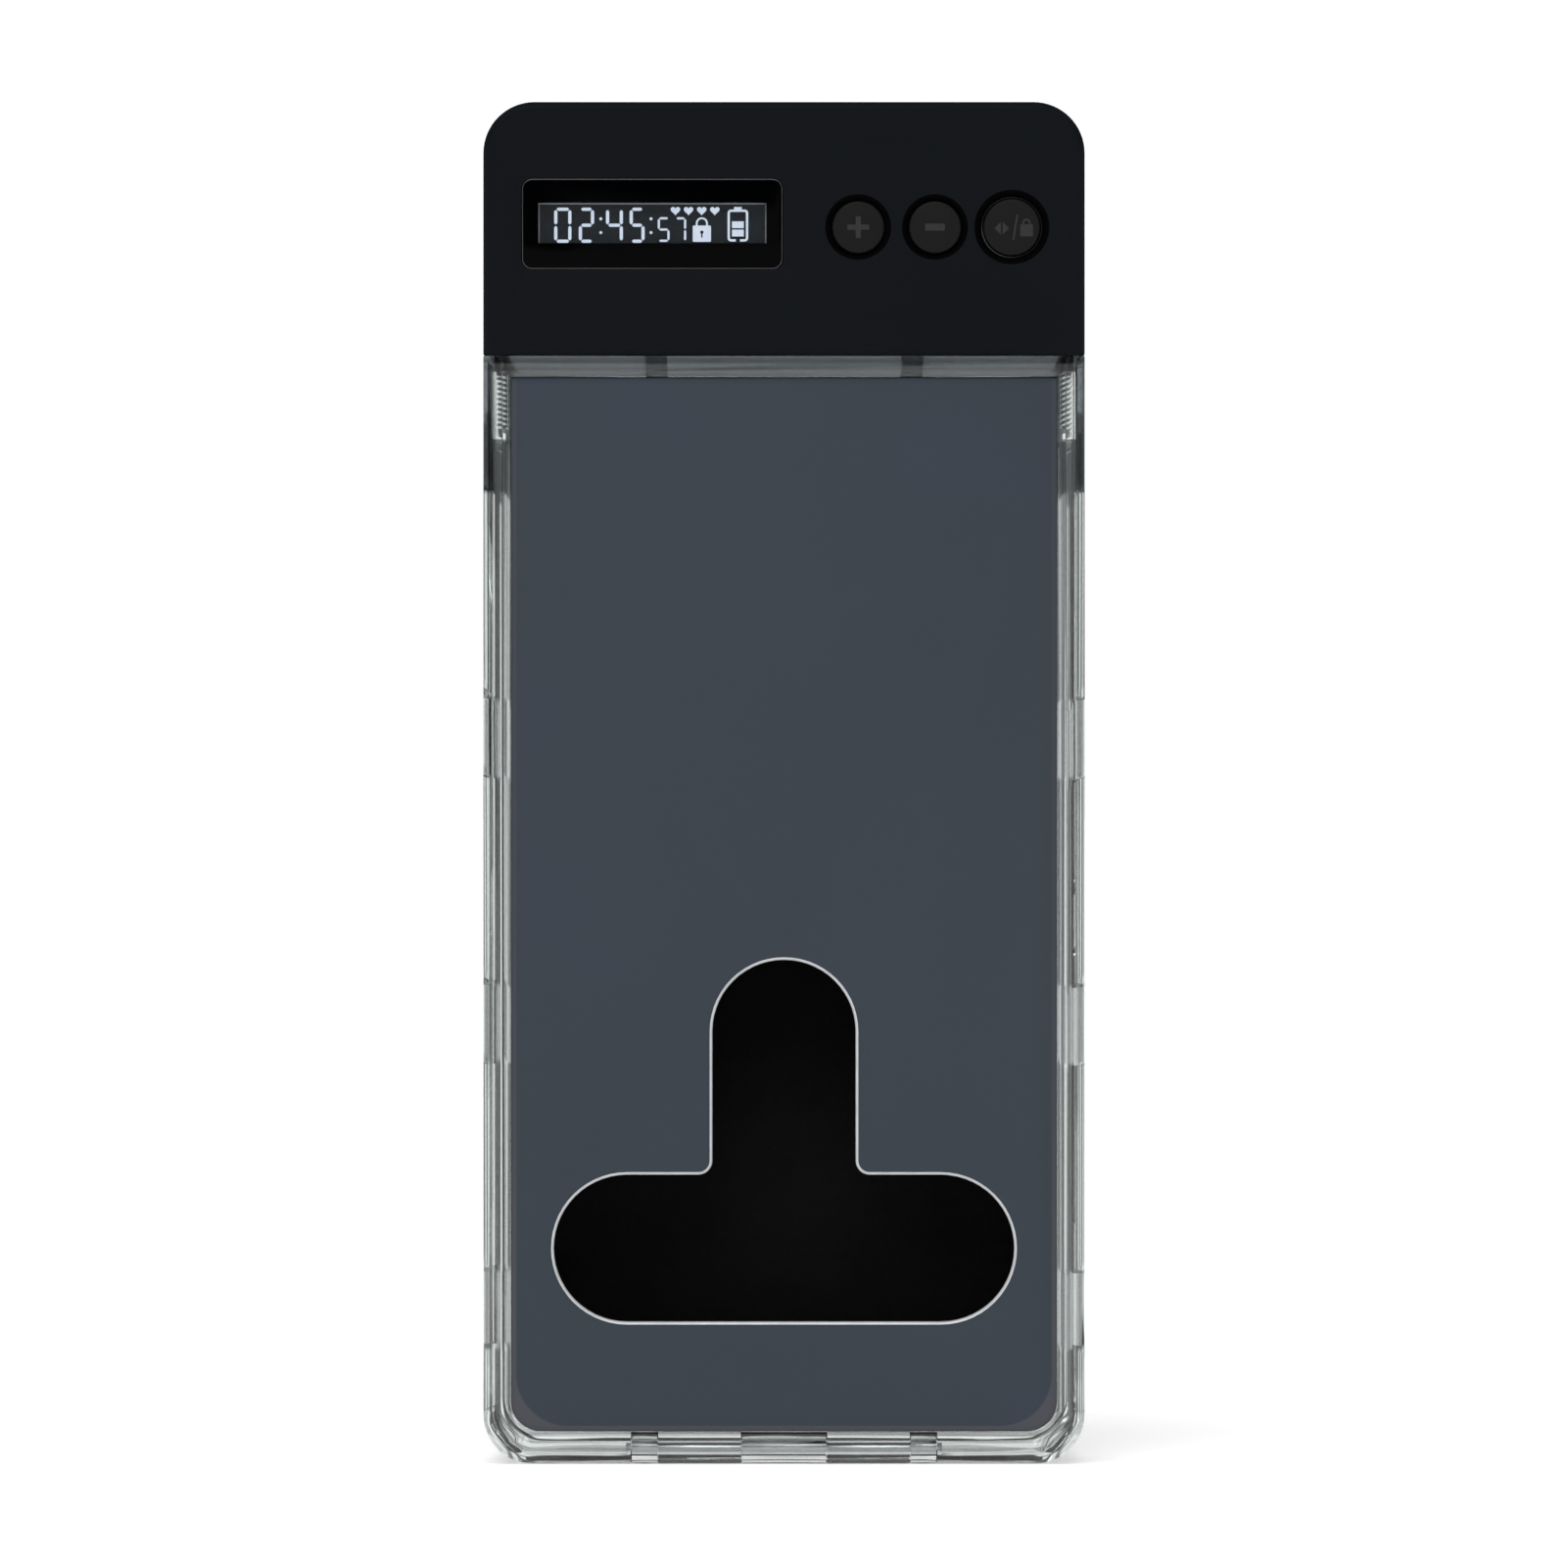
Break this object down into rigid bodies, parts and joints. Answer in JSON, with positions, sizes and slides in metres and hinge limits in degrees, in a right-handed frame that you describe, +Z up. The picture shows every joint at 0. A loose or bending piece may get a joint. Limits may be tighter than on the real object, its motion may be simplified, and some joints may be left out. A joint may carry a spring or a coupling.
{
  "type": "timed lock container",
  "caption": "Slim clear container with a bottom-hinged smoked door and a black timer head whose bolts lock the door.",
  "frame": {"origin": "middle of the bounding box's bottom, on the surface that the container stands on", "axes": "+Z up with the timer head on top, the display and the door face -Y, +X to the viewer's right"},
  "size_m": [0.094, 0.024, 0.213],
  "materials": {
    "black_shell": "fine satin",
    "clear_plastic": "clear, polished",
    "smoked_plastic": "smoked slate tint, satin",
    "display_lens": "gloss, black border printed behind",
    "display_glass": "dark slate",
    "button_cap": "matt",
    "black_foam": "closed-cell foam",
    "inner_plastic": "moulded",
    "white_plastic": "acetal",
    "switch_plastic": "moulded",
    "chip_plastic": "moulded",
    "board": "solder mask",
    "steel": "zinc plated",
    "black_screw": "black oxide",
    "brass": "turned",
    "motor_can": "plated",
    "gearbox_plates": "brass plates",
    "battery_foil": "pouch foil",
    "port_steel": "nickel plated"
  },
  "bodies": {
    "case": {"clear_tray": "clear_plastic", "foam_liner": "black_foam", "hinge_pin": "steel", "body_screws": "steel", "lock_chassis": "inner_plastic", "motor": "motor_can", "gearbox": "gearbox_plates", "head_front_shell": "black_shell", "head_rear_cover": "black_shell", "case_screws": "black_screw", "display_window": "display_lens", "display_panel": "display_glass", "display_holder": "inner_plastic", "button_switches": "switch_plastic", "control_board": "board", "board_screws": "steel", "board_components": "chip_plastic", "battery": "battery_foil", "battery_pad": "black_foam", "charging_port": "port_steel", "charging_port_tongue": "switch_plastic", "buzzer": "switch_plastic"},
    "door": {"door_frame": "clear_plastic", "door_panel": "smoked_plastic"},
    "bolts": {"bolt_carriage": "white_plastic", "left_bolt": "steel", "right_bolt": "steel"},
    "drive": {"pinion": "brass", "drive_shaft": "steel"},
    "plus_key": {"plus_button": "button_cap", "plus_switch_plunger": "white_plastic"},
    "minus_key": {"minus_button": "button_cap", "minus_switch_plunger": "white_plastic"},
    "lock_key": {"lock_button": "button_cap", "lock_switch_plunger": "white_plastic"}
  },
  "joints": [
    {"name": "door_hinge", "type": "hinge", "parent": "case", "child": "door", "pos_m": [0, -0.0086, 0.0026], "axis": [1, 0, 0], "range_deg": [0, 90]},
    {"name": "bolt_slide", "type": "slide", "parent": "case", "child": "bolts", "axis": [0, 0, -1], "range_m": [0, 0.0035]},
    {"name": "pinion_turn", "type": "hinge", "parent": "case", "child": "drive", "pos_m": [0, 0.0001, 0.185], "axis": [1, 0, 0], "range_deg": [0, 70]},
    {"name": "plus_press", "type": "slide", "parent": "case", "child": "plus_key", "axis": [0, 1, 0], "range_m": [0, 0.0004], "stiffness_N_per_m": 800},
    {"name": "minus_press", "type": "slide", "parent": "case", "child": "minus_key", "axis": [0, 1, 0], "range_m": [0, 0.0004], "stiffness_N_per_m": 800},
    {"name": "lock_press", "type": "slide", "parent": "case", "child": "lock_key", "axis": [0, 1, 0], "range_m": [0, 0.0004], "stiffness_N_per_m": 800}
  ],
  "couplings": [
    {"joint": "pinion_turn", "follows": "bolt_slide", "rad_per_m": 333.33}
  ]
}
